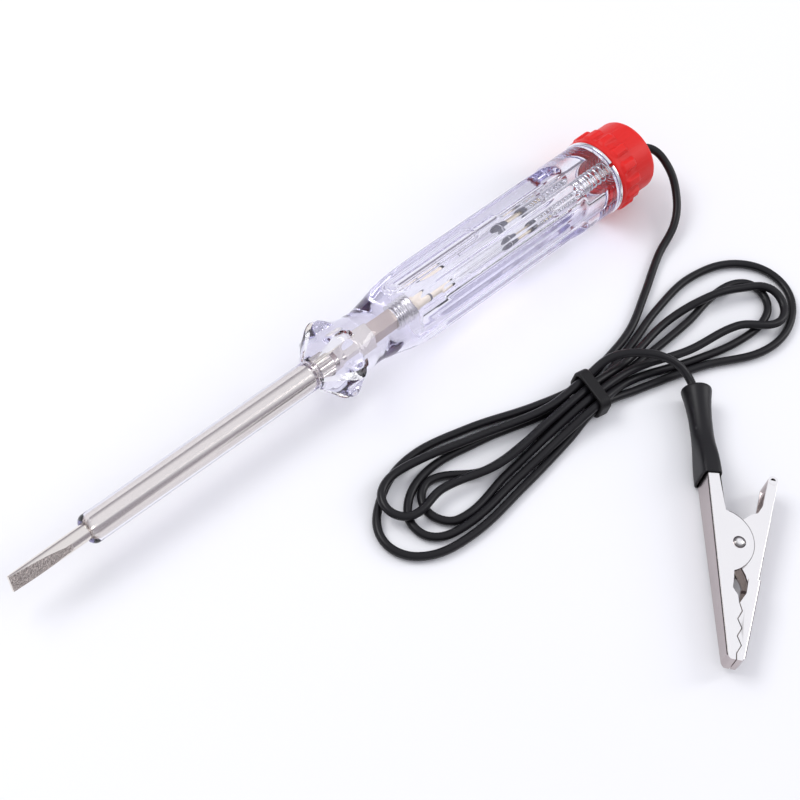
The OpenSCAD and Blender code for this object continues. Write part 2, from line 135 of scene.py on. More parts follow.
def add_lights():
    """A soft studio: a room that is bright above and dim at the horizon, and two softboxes."""
    world = bpy.data.worlds.new("studio")
    world.use_nodes = True
    tree = world.node_tree
    direction = tree.nodes.new("ShaderNodeTexCoord")
    parts = tree.nodes.new("ShaderNodeSeparateXYZ")
    sky = tree.nodes.new("ShaderNodeValToRGB")
    horizon, overhead = sky.color_ramp.elements
    horizon.position, horizon.color = 0.1, (0.26, 0.24, 0.29, 1)
    overhead.position, overhead.color = 0.7, (0.92, 0.93, 1, 1)
    tree.links.new(direction.outputs["Generated"], parts.inputs["Vector"])
    tree.links.new(parts.outputs["Z"], sky.inputs["Fac"])
    tree.links.new(sky.outputs["Color"], tree.nodes["Background"].inputs["Color"])
    tree.nodes["Background"].inputs["Strength"].default_value = 0.95
    bpy.context.scene.world = world
    add_light("key", (-0.35, 0.55, 0.8), (0.6, 0.4), 4)
    add_light("side", (0.75, -0.35, 0.5), (0.2, 0.6), 1.6)


def set_light_paths():
    """Enough bounces for light to pass through the handle's clear walls."""
    scene = bpy.context.scene
    scene.view_settings.view_transform = "Standard"
    scene.cycles.max_bounces = 32
    scene.cycles.transmission_bounces = 32
    scene.cycles.glossy_bounces = 12
    scene.cycles.diffuse_bounces = 6


# ---------------------------------------------------------------- materials

def principled(name, color, **sockets):
    """A Principled material. Socket names are written in lower case with underscores."""
    material = bpy.data.materials.new(name)
    material.use_nodes = True
    shader = material.node_tree.nodes["Principled BSDF"]
    shader.inputs["Base Color"].default_value = (*color, 1)
    for key, value in sockets.items():
        wanted = key.replace("_", " ")
        socket = next(s for s in shader.inputs if s.name.lower() == wanted)
        socket.default_value = value
    return material


def node(material, kind, **inputs):
    """A new shader node with some of its inputs set."""
    made = material.node_tree.nodes.new(kind)
    for key, value in inputs.items():
        made.inputs[key].default_value = value
    return made


def link(material, output, target):
    """Joins a node's output to an input."""
    material.node_tree.links.new(output, target)


def coords(material, scale=(1, 1, 1)):
    """Object coordinates in millimetres, stretched by scale."""
    source = node(material, "ShaderNodeTexCoord")
    mapping = node(material, "ShaderNodeMapping", Scale=[s / MM for s in scale])
    link(material, source.outputs["Object"], mapping.inputs["Vector"])
    return mapping.outputs["Vector"]


def grain(material, scale, strength, depth, detail=3.0):
    """Fine bumps. scale is in waves per millimetre and depth in millimetres."""
    noise = node(material, "ShaderNodeTexNoise", Scale=scale, Detail=detail)
    link(material, coords(material), noise.inputs["Vector"])
    bump = node(material, "ShaderNodeBump", Strength=strength, Distance=depth * MM)
    link(material, noise.outputs["Fac"], bump.inputs["Height"])
    shader = material.node_tree.nodes["Principled BSDF"]
    link(material, bump.outputs["Normal"], shader.inputs["Normal"])
    return noise


def vary(material, noise, socket, low, high):
    """Lets a noise move a socket between two values."""
    spread = node(material, "ShaderNodeMapRange")
    spread.inputs["To Min"].default_value = low
    spread.inputs["To Max"].default_value = high
    link(material, noise.outputs["Fac"], spread.inputs["Value"])
    shader = material.node_tree.nodes["Principled BSDF"]
    link(material, spread.outputs["Result"], shader.inputs[socket])


def metal(name, color, rough_low, rough_high, scale=0.6):
    """Bright metal with slightly uneven polish."""
    material = principled(name, color, metallic=1, roughness=rough_low)
    noise = grain(material, scale, 0.12, 0.02)
    vary(material, noise, "Roughness", rough_low, rough_high)
    return material


def arithmetic(material, operation, a, b):
    """Output of a maths node; a and b are sockets or numbers."""
    made = node(material, "ShaderNodeMath")
    made.operation = operation
    for value, target in zip((a, b), made.inputs):
        if isinstance(value, (int, float)):
            target.default_value = value
        else:
            link(material, value, target)
    return made.outputs[0]


def step_up(material, value, low, high):
    """0 at low and before it, and 1 at high and past it."""
    made = node(material, "ShaderNodeMapRange")
    made.inputs["From Min"].default_value = low
    made.inputs["From Max"].default_value = high
    link(material, value, made.inputs["Value"])
    return made.outputs["Result"]


def split(material, vector, axis):
    """One component of a vector socket."""
    parts = node(material, "ShaderNodeSeparateXYZ")
    link(material, vector, parts.inputs["Vector"])
    return parts.outputs[axis]


def blend(material, share, low, high):
    """A colour between two, by a share; each is a colour or a socket."""
    made = node(material, "ShaderNodeMix")
    made.data_type = "RGBA"
    link(material, share, made.inputs["Factor"])
    for value, target in zip((low, high), [s for s in made.inputs if s.type == "RGBA"]):
        if isinstance(value, tuple):
            target.default_value = (*value, 1)
        else:
            link(material, value, target)
    return next(o for o in made.outputs if o.type == "RGBA")


def clip_metal(name):
    """Nickel plate with painted shade by facing: bright sides, a web painted darker as shade, and painted
    dark shade over the bends between them.
    """
    material = metal(name, (0.88, 0.85, 0.82), 0.16, 0.26, 0.35)
    source = node(material, "ShaderNodeTexCoord")
    # Painted shade: the colour follows how far each face turns from the plate's side, so the bends and
    # the web are painted darker and the flat sides bright.
    facing = arithmetic(material, "ABSOLUTE", split(material, source.outputs["Normal"], "Z"), 0)
    web, bend, plate = (0.52, 0.46, 0.46, 1), (0.10, 0.09, 0.09, 1), (0.97, 0.95, 0.93, 1)
    tone = node(material, "ShaderNodeValToRGB")
    stops = tone.color_ramp.elements
    stops[0].position, stops[0].color = 0.2, web
    stops[1].position, stops[1].color = 0.985, plate
    for position in (0.42, 0.86):
        stops.new(position).color = bend
    link(material, facing, tone.inputs["Fac"])
    shader = material.node_tree.nodes["Principled BSDF"]
    link(material, tone.outputs["Color"], shader.inputs["Base Color"])
    return material


def shank_metal(name):
    """Bright nickel, with a dull ground grain on the blade's flats and an unpolished tang, whose beige
    colour is a painted warm reflection.
    """
    material = principled(name, (0.8, 0.78, 0.75), metallic=1, roughness=0.2)
    shader = material.node_tree.nodes["Principled BSDF"]
    source = node(material, "ShaderNodeTexCoord")
    station = split(material, source.outputs["Object"], "X")
    front = step_up(material, station, *(x * MM for x in BLADE_GROUND))
    turned = node(material, "ShaderNodeVectorMath")
    turned.operation = "DOT_PRODUCT"
    link(material, source.outputs["Normal"], turned.inputs[0])
    turned.inputs[1].default_value = (0, math.cos(BLADE_NORMAL), math.sin(BLADE_NORMAL))
    facing = arithmetic(material, "ABSOLUTE", turned.outputs["Value"], 0)
    ground = arithmetic(material, "MULTIPLY", front, step_up(material, facing, 0.93, 0.97))
    noise = node(material, "ShaderNodeTexNoise", Scale=1, Detail=5)
    link(material, coords(material, (9, 3, 3)), noise.inputs["Vector"])
    tone = node(material, "ShaderNodeValToRGB")
    scratch, polish = tone.color_ramp.elements
    scratch.position, scratch.color = 0.38, (0.17, 0.14, 0.13, 1)
    polish.position, polish.color = 0.66, (0.92, 0.84, 0.78, 1)
    link(material, noise.outputs["Fac"], tone.inputs["Fac"])
    # Past TANG_STEP the colour turns beige as a painted warm reflection, and the roughness rises there as
    # well.
    tang = step_up(material, station, *(x * MM for x in TANG_STEP))
    rod = blend(material, tang, (0.86, 0.81, 0.75), (0.66, 0.58, 0.52))
    link(material, blend(material, ground, rod, tone.outputs["Color"]), shader.inputs["Base Color"])
    rough = node(material, "ShaderNodeMapRange")
    rough.inputs["To Min"].default_value = 0.2
    rough.inputs["To Max"].default_value = 0.5
    link(material, arithmetic(material, "MAXIMUM", ground, tang), rough.inputs["Value"])
    link(material, rough.outputs["Result"], shader.inputs["Roughness"])
    bump = node(material, "ShaderNodeBump", Distance=0.05 * MM)
    link(material, arithmetic(material, "MULTIPLY", ground, 0.6), bump.inputs["Strength"])
    link(material, noise.outputs["Fac"], bump.inputs["Height"])
    link(material, bump.outputs["Normal"], shader.inputs["Normal"])
    return material


def clear(name, color, density, ior=1.49):
    """Clear plastic or glass with a faint tint in its depth and a light shadow."""
    material = principled(name, (1, 1, 1), ior=ior, roughness=0, transmission_weight=1)
    grain(material, 0.25, 0.25, 0.05, detail=1.0)
    absorb = node(material, "ShaderNodeVolumeAbsorption")
    absorb.inputs["Color"].default_value = (*color, 1)
    absorb.inputs["Density"].default_value = density
    output = material.node_tree.nodes["Material Output"]
    link(material, absorb.outputs["Volume"], output.inputs["Volume"])
    light_shadow = node(material, "ShaderNodeMixShader")
    path = node(material, "ShaderNodeLightPath")
    through = node(material, "ShaderNodeBsdfTransparent")
    through.inputs["Color"].default_value = (0.93, 0.92, 0.96, 1)
    link(material, path.outputs["Is Shadow Ray"], light_shadow.inputs["Fac"])
    link(material, material.node_tree.nodes["Principled BSDF"].outputs["BSDF"], light_shadow.inputs[1])
    link(material, through.outputs["BSDF"], light_shadow.inputs[2])
    link(material, light_shadow.outputs["Shader"], output.inputs["Surface"])
    return material


def soft_black(name, color, roughness):
    """Black rubber or soft plastic."""
    unevenness = 0.06
    material = principled(name, color, roughness=roughness, specular_ior_level=0.3)
    noise = grain(material, 3.0, 0.2, 0.02)
    vary(material, noise, "Roughness", roughness - unevenness, roughness + unevenness)
    return material


def make_materials():
    """One material for each slot of the record."""
    mats = {
        "nickel_steel": shank_metal("nickel_steel"),
        "contact_steel": metal("contact_steel", (0.78, 0.77, 0.75), 0.2, 0.3),
        "filament_wire": metal("filament_wire", (0.30, 0.29, 0.30), 0.35, 0.45),
        "brass": metal("brass", (0.86, 0.77, 0.60), 0.22, 0.34),
        "spring_steel": metal("spring_steel", (0.72, 0.72, 0.74), 0.18, 0.3, 1.5),
        "ring_chrome": metal("ring_chrome", (0.86, 0.86, 0.88), 0.06, 0.12),
        "clip_nickel": clip_metal("clip_nickel"),
        # Painted shadow: dark metal for the thin lines round the clip's ears, in place of the shade in
        # the gap between the plates.
        "clip_painted_shadow_line": metal("clip_painted_shadow_line", (0.12, 0.11, 0.11), 0.16, 0.45, 0.35),
        "clear_plastic": clear("clear_plastic", (0.80, 0.78, 0.92), 45),
        "sleeve_plastic": clear("sleeve_plastic", (0.80, 0.78, 0.92), 60),
        "lamp_glass": clear("lamp_glass", (0.95, 0.95, 0.97), 10, ior=1.5),
        "lead_rubber": soft_black("lead_rubber", (0.006, 0.0055, 0.007), 0.34),
        "tie_rubber": soft_black("tie_rubber", (0.006, 0.0055, 0.006), 0.5),
        "boot_rubber": soft_black("boot_rubber", (0.006, 0.0055, 0.007), 0.4),
    }
    ivory = principled("ivory_plastic", (0.84, 0.76, 0.62), roughness=0.35)
    grain(ivory, 1.5, 0.15, 0.03)
    dark = principled("dark_plastic", (0.12, 0.12, 0.14), roughness=0.35)
    grain(dark, 1.5, 0.15, 0.03)
    red = principled(
        "cap_plastic", (0.72, 0.015, 0.012), roughness=0.4, subsurface_weight=0.6,
        subsurface_scale=1, subsurface_radius=(0.004, 0.0008, 0.0006), specular_ior_level=0.3,
    )
    noise = grain(red, 1.2, 0.12, 0.03)
    vary(red, noise, "Roughness", 0.36, 0.48)
    mats.update(ivory_plastic=ivory, dark_plastic=dark, cap_plastic=red)
    return mats


# ---------------------------------------------------------------- mesh helpers

def mesh_piece(name, points, faces, smooth_angle=35):
    """A mesh object from millimetre points, shaded smooth except over sharp edges."""
    mesh = bpy.data.meshes.new(name)
    mesh.from_pydata([Vector(p) * MM for p in points], [], faces)
    mesh.update()
    piece = bpy.data.objects.new(name, mesh)
    bpy.context.scene.collection.objects.link(piece)
    shade(piece, smooth_angle)
    return piece


def shade(piece, smooth_angle):
    """Outward normals, and smooth shading with edges kept sharp past an angle."""
    work = bmesh.new()
    work.from_mesh(piece.data)
    bmesh.ops.recalc_face_normals(work, faces=work.faces)
    limit = math.radians(smooth_angle)
    for face in work.faces:
        face.smooth = True
    for edge in work.edges:
        if len(edge.link_faces) == 2 and edge.calc_face_angle() > limit:
            edge.smooth = False
    work.to_mesh(piece.data)
    work.free()


def dress(piece, body, slot, material, *nodes):
    """Gives a piece its material and its body, and hides the CAD nodes that it stands for. The slot
    argument is not used.
    """
    piece.data.materials.clear()
    piece.data.materials.append(material)
    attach(piece, body)
    if nodes:
        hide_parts(*nodes)
    return piece


def ring_faces(rows, columns, closed_rows=False):
    """Quads of a grid of rings, wrapped round its columns and, if asked, its rows."""
    faces = []
    for i in range(rows if closed_rows else rows - 1):
        a, b = i * columns, (i + 1) % rows * columns
        for k in range(columns):
            m = (k + 1) % columns
            faces.append((a + k, a + m, b + m, b + k))
    return faces


def on_axis(x, r, angle):
    """A point round the tool's axis."""
    return (x, r * math.cos(angle), AXIS_Z + r * math.sin(angle))


def lathe(name, rows, columns=96, wrap=False, smooth_angle=35):
    """A closed solid of rings round the tool's axis.

    rows holds (x, r), where r is a radius or a function of the angle. With wrap the last ring
    joins the first, as in a tube; otherwise the first and the last ring are capped.
    """
    points = []
    for x, r in rows:
        for k in range(columns):
            angle = TURN * k / columns
            points.append(on_axis(x, r(angle) if callable(r) else r, angle))
    faces = ring_faces(len(rows), columns, wrap)
    if not wrap:
        for first, x in ((0, rows[0][0]), (len(points) - columns, rows[-1][0])):
            hub = len(points)
            points.append((x, 0, AXIS_Z))
            faces += [(first + k, first + (k + 1) % columns, hub) for k in range(columns)]
    return mesh_piece(name, points, faces, smooth_angle)


def loft(name, place, rings, smooth_angle=35):
    """A closed solid through rings of local points, with a cap at each end."""
    columns = len(rings[0])
    points = [place @ Vector(p) for ring in rings for p in ring]
    faces = ring_faces(len(rings), columns)
    for first in (0, len(points) - columns):
        hub = len(points)
        points.append(sum((points[first + k] for k in range(columns)), Vector()) / columns)
        faces += [(first + k, first + (k + 1) % columns, hub) for k in range(columns)]
    return mesh_piece(name, points, faces, smooth_angle)


def oval(z, a, b, power=2.0, columns=64):
    """A ring of a superellipse with half widths a and b at height z."""
    ring = []
    for k in range(columns):
        c, s = math.cos(TURN * k / columns), math.sin(TURN * k / columns)
        ring.append((
            a * math.copysign(abs(c) ** (2 / power), c),
            b * math.copysign(abs(s) ** (2 / power), s),
            z,
        ))
    return ring


def hermite(knots):
    """A smooth curve through (x, y) knots, with no overshoot between them."""
    xs = [k[0] for k in knots]
    ys = [k[1] for k in knots]
    steps = [(ys[i + 1] - ys[i]) / (xs[i + 1] - xs[i]) for i in range(len(xs) - 1)]
    slopes = [steps[0]]
    for a, b in zip(steps, steps[1:]):
        slopes.append(0 if a * b <= 0 else 2 * a * b / (a + b))
    slopes.append(steps[-1])

    def value(x):
        if x <= xs[0]:
            return ys[0]
        if x >= xs[-1]:
            return ys[-1]
        i = bisect.bisect_right(xs, x) - 1
        h = xs[i + 1] - xs[i]
        t = (x - xs[i]) / h
        return (
            ys[i] * (1 + 2 * t) * (1 - t) ** 2 + ys[i + 1] * t * t * (3 - 2 * t)
            + h * (slopes[i] * t * (1 - t) ** 2 - slopes[i + 1] * t * t * (1 - t))
        )

    return value


def smooth_min(a, b, k):
    """The smaller of two values, rounded over a band of width k."""
    h = max(0.0, min(1.0, 0.5 + 0.5 * (b - a) / k))
    return b + (a - b) * h - k * h * (1 - h)


def ramp(x, low, high):
    """0 below low, 1 above high, and smooth between them."""
    t = max(0.0, min(1.0, (x - low) / (high - low)))
    return t * t * (3 - 2 * t)


def stations(low, high, step):
    """Evenly spaced stations, both ends included."""
    count = max(1, round((high - low) / step))
    return [low + (high - low) * i / count for i in range(count + 1)]


def tube(name, path, radius, sides=12):
    """A round wire along millimetre points, capped at both ends."""
    path = [Vector(p) for p in path]
    count = len(path)
    heading = [(path[min(i + 1, count - 1)] - path[max(i - 1, 0)]).normalized() for i in range(count)]
    side = heading[0].orthogonal().normalized()
    points = []
    for p, t in zip(path, heading):
        side = (side - t * side.dot(t)).normalized()
        other = t.cross(side)
        for k in range(sides):
            a = TURN * k / sides
            points.append(p + (side * math.cos(a) + other * math.sin(a)) * radius)
    faces = ring_faces(count, sides)
    faces.append(tuple(range(sides)))
    faces.append(tuple(range((count - 1) * sides, count * sides)))
    return mesh_piece(name, points, faces, smooth_angle=50)


def helix(x0, x1, radius, turns):
    """Points of a coil round the tool's axis, with its end turns closed up."""
    steps = 28
    points = []
    for i in range(round(turns * steps) + 1):
        turn = i / steps
        share = turn / turns
        closed = 0.6 * math.sin(TURN * share) / TURN
        points.append(on_axis(x0 + (x1 - x0) * (share - closed), radius, TURN * turn))
    return points


def cad_copy(name, source):
    """A copy of a CAD node, ready to be reshaped, and its mesh without doubled points."""
    piece = frame["nodes"][source].copy()
    piece.data = piece.data.copy()
    piece.name = name
    for key in list(piece.keys()):
        if key.startswith("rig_"):
            del piece[key]
    piece.parent = None
    bpy.context.scene.collection.objects.link(piece)
    same_point, same_plane = 0.002 * MM, math.radians(1)
    work = bmesh.new()
    work.from_mesh(piece.data)
    bmesh.ops.remove_doubles(work, verts=work.verts, dist=same_point)
    bmesh.ops.dissolve_limit(
        work, angle_limit=same_plane, verts=work.verts, edges=work.edges
    )
    return piece, work


def round_over(work, edges, width, segments, clamp=True):
    """Rounds the given edges by a width in millimetres."""
    bmesh.ops.bevel(
        work, geom=edges, offset=width * MM, segments=segments, profile=0.5,
        affect="EDGES", clamp_overlap=clamp,
    )


def sharp_edges(work):
    """Edges whose faces meet at a clear angle."""
    limit = math.radians(30)
    return [e for e in work.edges if len(e.link_faces) == 2 and e.calc_face_angle() > limit]


def keep_reshaped(piece, work):
    """Writes a reshaped mesh back, with flat faces that look flat."""
    work.to_mesh(piece.data)
    work.free()
    shade(piece, smooth_angle=50)
    piece.modifiers.new("flat_faces", "WEIGHTED_NORMAL").keep_sharp = True
    return piece


def softened(name, source, width, segments=2):
    """A copy of a CAD node with its sharp edges rounded over."""
    piece, work = cad_copy(name, source)
    round_over(work, sharp_edges(work), width, segments)
    return keep_reshaped(piece, work)


def bent_sheet(name, source):
    """A copy of a clip jaw with round bends along its web and fine broken edges elsewhere."""
    bend_r, edge_r, long_edge = 0.45, 0.12, 6
    piece, work = cad_copy(name, source)
    bends = [e for e in sharp_edges(work) if e.is_convex and e.calc_length() > long_edge * MM]
    round_over(work, bends, bend_r, 4, clamp=False)
    round_over(work, sharp_edges(work), edge_r, 2)
    return keep_reshaped(piece, work)


# ---------------------------------------------------------------- lead

# The lead's route, from the cap to the boot. Its first and last stretch are part.scad's.
ROUTE = [
    # from the cap down to the table, and in under the tie
    (92.8, 0, 10), (96, 0, 10), (102, -2.1, 10), (103.1, -7.8, 8.5), (101, -14, 5.5),
    (96, -19, 3), (87, -22.5, 1.2), (76, -28, 1), (65, -33, 1), (54, -35.3, 1.2),
    # first pass of the tie, then the outer left lobe
    (43, -36.7, 2.2), (31, -34, 1.1), (13, -28.5, 1), (-3, -26, 1), (-15, -29.5, 1),
    (-22, -37, 1), (-18.5, -45, 1), (-6, -48.5, 1), (14, -47, 1), (30, -45, 1.1),
    # second pass, then the outer right lobe
    (42, -43.3, 2.2), (54, -45.5, 1.1), (72, -50.5, 1), (89, -57, 1), (101.5, -54.5, 1),
    (107, -46, 1), (102.5, -36.5, 1), (90, -31.8, 1), (75, -33, 1), (59, -36.8, 1.1),
    # third pass, then the second left lobe
    (43, -38.9, 2.2), (30, -36.5, 1.1), (13, -32.5, 1), (-3, -31, 1), (-13, -36, 1),
    (-13, -43, 1), (-4, -46, 1), (13, -44.8, 1.3), (30, -43.7, 2.8),
    # fourth pass, then the inner right lobe
    (42, -43.3, 4.3), (54, -43, 1.9), (72, -48.3, 1), (86, -51.3, 1), (96.4, -50.4, 1),
    (100.5, -45.5, 1), (98.5, -40.5, 1), (91, -38.6, 1), (78, -40, 1), (58, -40.6, 1.1),
    # fifth pass, then the third left lobe
    (42.5, -41.1, 2.2), (29, -39.3, 1.1), (9.3, -38.8, 1), (-3.3, -33, 1), (-9, -37.8, 1),
    (-4.7, -43.9, 1), (12.5, -42.5, 1), (30, -41.3, 2.8),
    # sixth pass, then the upper right lobe
    (42.5, -41.1, 4.3), (56, -41.7, 3.5), (71, -46, 3), (86.4, -48.6, 3.1), (95.6, -53.8, 2.5),
    (101, -51.7, 2.2), (101.5, -46.2, 3), (95.7, -42, 3.1), (87, -38.8, 3.1), (74, -37, 1.7),
    (57, -38.9, 2.6),
    # seventh pass, then the upper left lobe
    (43, -38.9, 4.3), (29, -39.4, 4), (12, -40, 3.1), (-3.2, -36.7, 3), (-13.3, -37.5, 3.1),
    (-17, -33.5, 3.1), (-14.5, -28.7, 3.1), (-6.4, -27.7, 3.1), (12, -31.8, 3.1),
    (31, -36.5, 3.3),
    # last pass, then over the hank into the boot
    (43, -36.7, 4.4), (51.5, -37, 6.5), (58, -41, 7.5), (62.5, -46, 6.8), (64, -51, 5),
    (61.4, -57, 4.2), (58.1, -60.8, 4.2), (54.6, -64.7, 4.2),
]
HANDLE_SHARE = 0.36


def add_lead(material):
    """The lead as one smooth open curve through its route."""
    curve = bpy.data.curves.new("lead", "CURVE")
    curve.dimensions = "3D"
    curve.bevel_depth = CORD_D / 2 * MM
    curve.bevel_resolution = 5
    curve.resolution_u = 10
    curve.use_fill_caps = True
    spline = curve.splines.new("BEZIER")
    spline.bezier_points.add(len(ROUTE) - 1)
    points = [Vector(p) * MM for p in ROUTE]
    last = len(points) - 1
    for i, point in enumerate(points):
        before = points[max(i - 1, 0)]
        after = points[min(i + 1, last)]
        heading = (after - before).normalized()
        knot = spline.bezier_points[i]
        knot.handle_left_type = "FREE"
        knot.handle_right_type = "FREE"
        knot.co = point
        knot.handle_left = point - heading * (point - before).length * HANDLE_SHARE
        knot.handle_right = point + heading * (after - point).length * HANDLE_SHARE
    lead = bpy.data.objects.new("lead", curve)
    bpy.context.scene.collection.objects.link(lead)
    return dress(lead, "lead", "lead_rubber", material, "lead_cord", "lead_hank", "lead_end")


# ---------------------------------------------------------------- handle

body_outline = hermite([
    (GUARD_BACK - 1, 7.8), (GUARD_BACK, 7.6), (0.6, 7), (3, 6.55), (5.6, 6.4), (8.7, 6.85),
    (11.9, 7.5), (15, 8.2), (18.2, 8.7), (21.4, 9.05), (24.6, BODY_R), (BODY_END, BODY_R),
])
guard_outline = hermite([
    (GUARD_FRONT, 3.7), (GUARD_FRONT + 1.3, 4.7), (GUARD_FRONT + 2.8, 6.1), (GUARD_FRONT + 4.3, 7.6),
    (GUARD_FRONT + 5.3, 8.8), (GUARD_FRONT + 6.3, 9.35), (GUARD_FRONT + 7.3, 9.5),
    (GUARD_BACK - 1.2, 8.8), (GUARD_BACK, 7.7), (GUARD_BACK + 0.8, 6),
])
FLAT_ANGLES = [math.radians(66 + 60 * k) for k in range(6)]
FLAT_R = 8.25
FLAT_BACK = 69
FLUTE_R = 3
FLUTE_DEPTH = 0.5
FLUTE_FRONT = 26
FLUTE_PAST_PANEL = 51
GUARD_R = 9.5
SCOOP_R = 5.2
SCOOP_DEPTH = 1.7
SKIN_BLEND = 0.12
GUARD_BLEND = 0.7
PANEL_MID = 27.8
PANEL_HALF = 12
PANEL_R = 2.3
PANEL_LINE_GAP = 0.75
PANEL_LINE_HALF = 0.2
PANEL_RISE = 0.24
THREAD_PITCH = 1.5
THREAD_DEPTH = 0.3
CREST_R = NECK_R - 0.12


def turned_by(angle, centre):
    """Angle from a centre line, between minus and plus half a turn."""
    return (angle - centre + math.pi) % TURN - math.pi


def groove_radius(off, distance, radius):
    """Radius at which a line from the axis meets a round groove's wall, or infinity."""
    inside = radius * radius - (distance * math.sin(off)) ** 2
    if radius <= 0 or inside <= 0 or math.cos(off) < 0:
        return math.inf
    return distance * math.cos(off) - math.sqrt(inside)


def nearest_flat(angle):
    """Index of the flat that faces an angle, and the angle from its middle."""
    offs = [turned_by(angle, centre) for centre in FLAT_ANGLES]
    k = min(range(len(offs)), key=lambda i: abs(offs[i]))
    return k, offs[k]


def flute_cut(x, k, off):
    """Radius left by a flat's flute; the one behind the blank oval starts later."""
    front = FLUTE_PAST_PANEL if k == 0 else FLUTE_FRONT
    past = max(front - x, x - FLAT_BACK, 0)
    if past >= FLUTE_R:
        return math.inf
    return groove_radius(off, FLAT_R + FLUTE_R - FLUTE_DEPTH, math.sqrt(FLUTE_R ** 2 - past ** 2))


def panel_rise(x, off):
    """Two fine raised lines round a blank oval."""
    across = off * FLAT_R
    if abs(across) > PANEL_R + 1 or abs(x - PANEL_MID) > PANEL_HALF + PANEL_R + 1:
        return 0
    out = math.hypot(max(abs(x - PANEL_MID) - PANEL_HALF, 0), across)
    lines = (PANEL_R, PANEL_R - PANEL_LINE_GAP)
    return sum(PANEL_RISE * math.exp(-((out - r) / PANEL_LINE_HALF) ** 2) for r in lines)


def guard_radius(x, angle):
    """Radius of the lobed finger guard."""
    distance = GUARD_R - SCOOP_DEPTH + SCOOP_R
    scoop = min(
        groove_radius(turned_by(angle, math.radians(k * 60)), distance, SCOOP_R) for k in range(6)
    )
    return smooth_min(guard_outline(x), scoop, GUARD_BLEND)


def handle_radius(x, angle):
    """Radius of the handle's outer skin."""
    if x < GUARD_BACK + 0.8:
        share = ramp(x, GUARD_BACK - 1, GUARD_BACK + 0.8)
        return guard_radius(x, angle) * (1 - share) + body_outline(x) * share
    k, off = nearest_flat(angle)
    flat = FLAT_R + 1.2 * ramp(x, FLAT_BACK, FLAT_BACK + 4)
    r = smooth_min(body_outline(x), flat / math.cos(off), SKIN_BLEND)
    cut = flute_cut(x, k, off)
    if cut < 2 * BODY_R:
        r = smooth_min(r, cut, SKIN_BLEND)
    return r + (panel_rise(x, off) if k == 0 else 0)


def thread_radius(x, angle):
    """Radius of the rounded screw thread on the neck."""
    wave = 0.5 + 0.5 * math.cos(TURN * x / THREAD_PITCH - angle)
    fade = ramp(x, BODY_END + 0.8, BODY_END + 1.8) * (1 - ramp(x, NECK_END - 1.2, NECK_END - 0.4))
    return CREST_R - THREAD_DEPTH * fade * (1 - ramp(wave, 0.25, 0.75))


def add_handle(material):
    """The moulded handle: a solid skin round the shank, with the open lamp chamber behind."""
    rows = [(SLEEVE_BACK, SEAT_R - PRESS), (GUARD_FRONT, SEAT_R - PRESS)]
    skin = stations(GUARD_FRONT, GUARD_BACK, 0.2) + stations(GUARD_BACK + 0.3, BODY_END - 0.25, 0.32)
    rows += [(x, lambda angle, x=x: handle_radius(x, angle)) for x in skin]
    rows += [(BODY_END - 0.07, BODY_R - 0.08), (BODY_END, BODY_R - 0.25), (BODY_END, CREST_R)]
    neck = stations(BODY_END + 0.1, NECK_END - 0.4, 0.1)
    rows += [(x, lambda angle, x=x: thread_radius(x, angle)) for x in neck]
    rows += [(NECK_END, NECK_R - 0.45), (NECK_END, CHAMBER_R + 0.2), (NECK_END - 0.2, CHAMBER_R)]
    rows += [(CHAMBER_FRONT + 0.5, CHAMBER_R), (CHAMBER_FRONT, CHAMBER_R - 0.5)]
    handle = lathe("handle_body", rows, 288, smooth_angle=40)
    return dress(handle, "handle", "clear_plastic", material, "handle")


def add_sleeve(material):
    """The insulating tube, drawn tight on the rod, with a rounded nose."""
    nose = 1.3
    bore = ROD_R - PRESS
    rows = [(SLEEVE_FRONT, bore), (SLEEVE_FRONT, SLEEVE_R - nose)]
    for a in (15, 30, 45, 60, 75, 90):
        turn = math.radians(a)
        x = SLEEVE_FRONT + nose * (1 - math.cos(turn))
        rows.append((x, SLEEVE_R - nose * (1 - math.sin(turn))))
    rows += [(x, SLEEVE_R) for x in stations(SLEEVE_FRONT + 3, GUARD_FRONT - 0.2, 8)]
    seat_end = SLEEVE_BACK - PRESS
    rows += [(GUARD_FRONT - 0.2, SEAT_R), (seat_end, SEAT_R), (seat_end, bore)]
    sleeve = lathe("probe_sleeve", rows, 96, wrap=True)
    return dress(sleeve, "handle", "sleeve_plastic", material, "sleeve")


# ---------------------------------------------------------------- cap and ring

LUGS = 14
LUG_TURN = math.radians(98)
LUG_R = 10
LUG_ROUND = 1.1
RIM_R = 9.55
SMOOTH_R = 8.9
SKIRT_END = CAP_FRONT + 6.2
CAP_BORE_R = NECK_R - 0.08
CAP_MOUTH_R = NECK_R + 0.06
CAP_FLOOR = 90
TERMINAL_R = 4.25
LEAD_HOLE_R = 1.2


def cap_radius(x, angle):
    """Radius of the cap's outside: a plain rim, rounded grip lugs and a smooth end."""
    valley = RIM_R - 0.3 * ramp(x, CAP_FRONT + 1.2, CAP_FRONT + 2.6)
    valley -= 0.35 * ramp(x, CAP_FRONT + 3, SKIRT_END)
    crown = SMOOTH_R
    end = SKIRT_END - x
    if end > 0:
        crown += (LUG_R - SMOOTH_R) * math.sqrt(1 - max(0, 1 - end / LUG_ROUND) ** 2)
    rise = ramp(x, CAP_FRONT + 0.9, CAP_FRONT + 2)
    wave = 0.5 + 0.5 * math.cos(LUGS * (angle - LUG_TURN))
    lug = ramp(wave, 0.12, 0.8)
    return valley + max(0, crown - valley) * lug * rise


